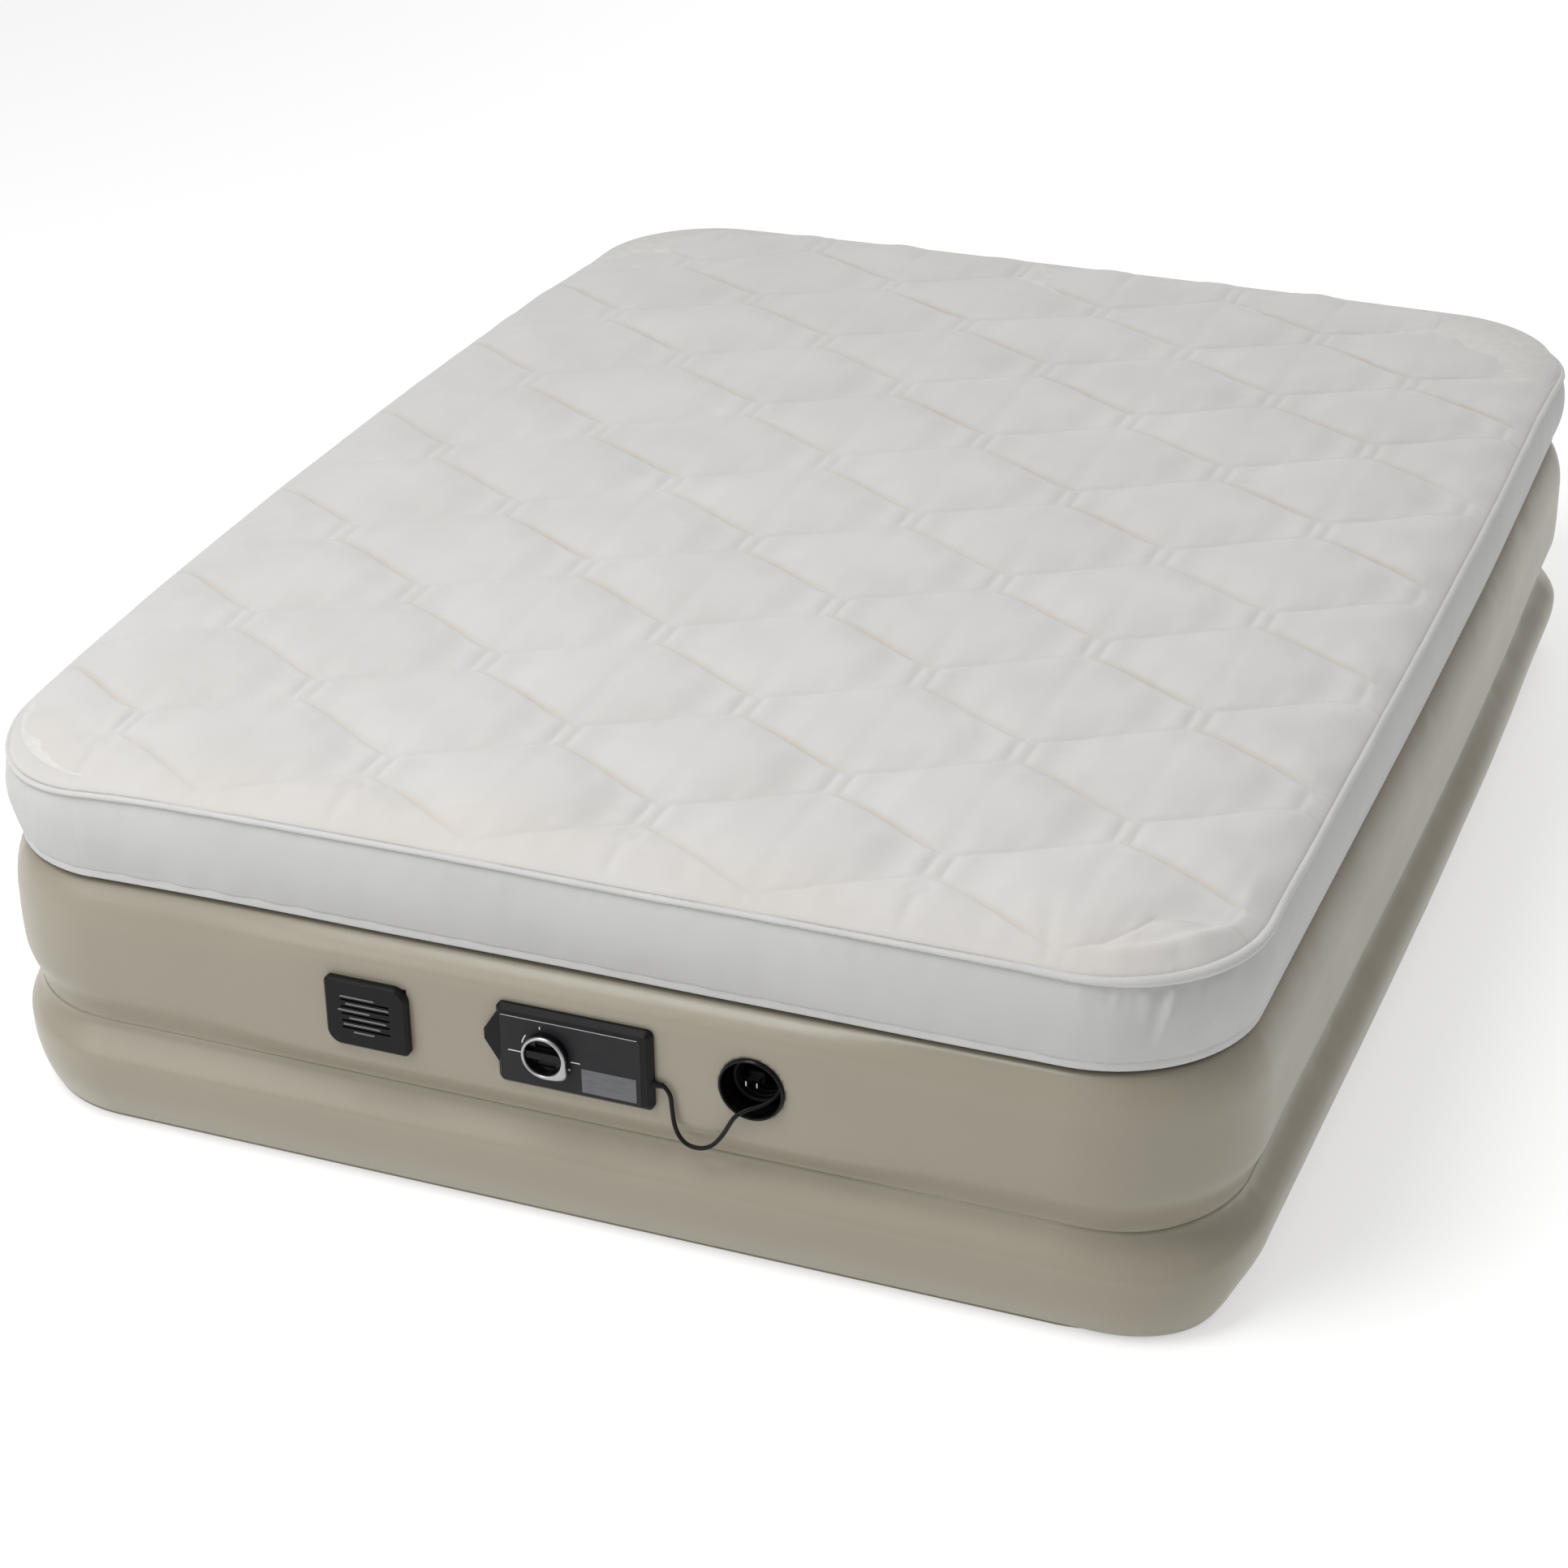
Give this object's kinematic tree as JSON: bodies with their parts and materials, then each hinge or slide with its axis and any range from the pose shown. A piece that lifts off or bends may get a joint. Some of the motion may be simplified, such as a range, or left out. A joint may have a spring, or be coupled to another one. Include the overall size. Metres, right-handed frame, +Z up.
{
  "type": "air mattress",
  "caption": "Raised queen air bed with a fitted quilted pad, a built-in mains pump with a dial, a small pressure-keeping pump and a cord compartment at the foot end.",
  "frame": {"origin": "centre of the underside, on the floor", "axes": "+Z up, the foot end with the pump controls faces -Y, the length runs along Y and +X is to the right seen from the foot end"},
  "size_m": [1.5476, 2.0773, 0.4663],
  "materials": {
    "vinyl": "satin PVC skin",
    "waist_vinyl": "plain PVC sheet",
    "flocked_vinyl": "flocked PVC",
    "pad_quilting": "quilted cloth over fibre fill",
    "pad_cloth": "knitted stretch cloth",
    "piping": "cloth-covered cord",
    "elastic": "gathered elastic hem",
    "black_plastic": "fine moulded texture",
    "gloss_black": "polished",
    "silver_plastic": "silver coated",
    "grey_label": "printed film, blank",
    "grey_plastic": "moulded",
    "cord_rubber": "satin",
    "steel": "ground",
    "brass": "bright",
    "copper_wire": "enamelled wire",
    "soft_rubber": "matt",
    "board": "circuit board"
  },
  "bodies": {
    "bed": {"bottom_sheet": "vinyl", "lower_tier_wall": "vinyl", "lower_waist_sheet": "waist_vinyl", "middle_tier_wall": "vinyl", "upper_waist_sheet": "waist_vinyl", "top_tier_wall": "vinyl", "top_sheet": "flocked_vinyl", "air_coil_row_1": "waist_vinyl", "air_coil_row_2": "waist_vinyl", "air_coil_row_3": "waist_vinyl", "air_coil_row_4": "waist_vinyl", "air_coil_row_5": "waist_vinyl", "air_coil_row_6": "waist_vinyl", "air_coil_row_7": "waist_vinyl", "pump_panel": "black_plastic", "pump_housing": "black_plastic", "intake_grille": "black_plastic", "label_plate": "grey_label", "cord_gland": "cord_rubber", "valve_sleeve": "grey_plastic", "motor_can": "steel", "motor_bearings": "brass", "volute": "grey_plastic", "dial_switch": "black_plastic", "flap_pin": "steel", "flap_ears": "black_plastic", "flap_spring": "steel", "aux_cover": "black_plastic", "aux_housing": "black_plastic", "aux_core": "steel", "aux_winding": "copper_wire", "aux_pivot": "steel", "aux_valve_block": "grey_plastic", "aux_diaphragm": "soft_rubber", "pressure_board": "board", "cord_cup": "gloss_black", "cup_rim": "grey_plastic", "mains_cord": "cord_rubber", "cord_tail": "cord_rubber", "cord_coil": "cord_rubber", "plug_body": "cord_rubber", "plug_blades": "brass"},
    "pad": {"pad_top": "pad_quilting", "pad_piping": "piping", "pad_skirt": "pad_cloth", "pad_hem": "elastic"},
    "dial": {"dial_knob": "gloss_black", "dial_ring": "silver_plastic", "dial_shaft": "grey_plastic", "diverter_drum": "grey_plastic"},
    "rotor": {"motor_shaft": "steel", "motor_rotor": "steel", "impeller": "grey_plastic"},
    "flap": {"outlet_flap": "soft_rubber"},
    "arm": {"aux_arm": "grey_plastic", "aux_magnet": "steel"}
  },
  "joints": [
    {"name": "pad_lift", "type": "slide", "parent": "bed", "child": "pad", "axis": [0, 0, 1], "range_m": [0, 0.16]},
    {"name": "dial_turn", "type": "hinge", "parent": "bed", "child": "dial", "pos_m": [0.009, -1.036, 0.236], "axis": [0, 1, 0], "range_deg": [-90, 90]},
    {"name": "rotor_spin", "type": "hinge", "parent": "bed", "child": "rotor", "pos_m": [0.085, -0.98, 0.236], "axis": [0, 1, 0], "continuous": true},
    {"name": "flap_swing", "type": "hinge", "parent": "bed", "child": "flap", "pos_m": [0.009, -0.913, 0.2645], "axis": [1, 0, 0], "range_deg": [0, 45], "stiffness_Nm_per_rad": 0.002, "springref_deg": -28.65, "deforming": ["flap_spring"]},
    {"name": "arm_swing", "type": "hinge", "parent": "bed", "child": "arm", "pos_m": [-0.254, -0.997, 0.233], "axis": [0, 0, 1], "range_deg": [-2, 2], "stiffness_Nm_per_rad": 0.5, "deforming": ["aux_diaphragm"]}
  ]
}
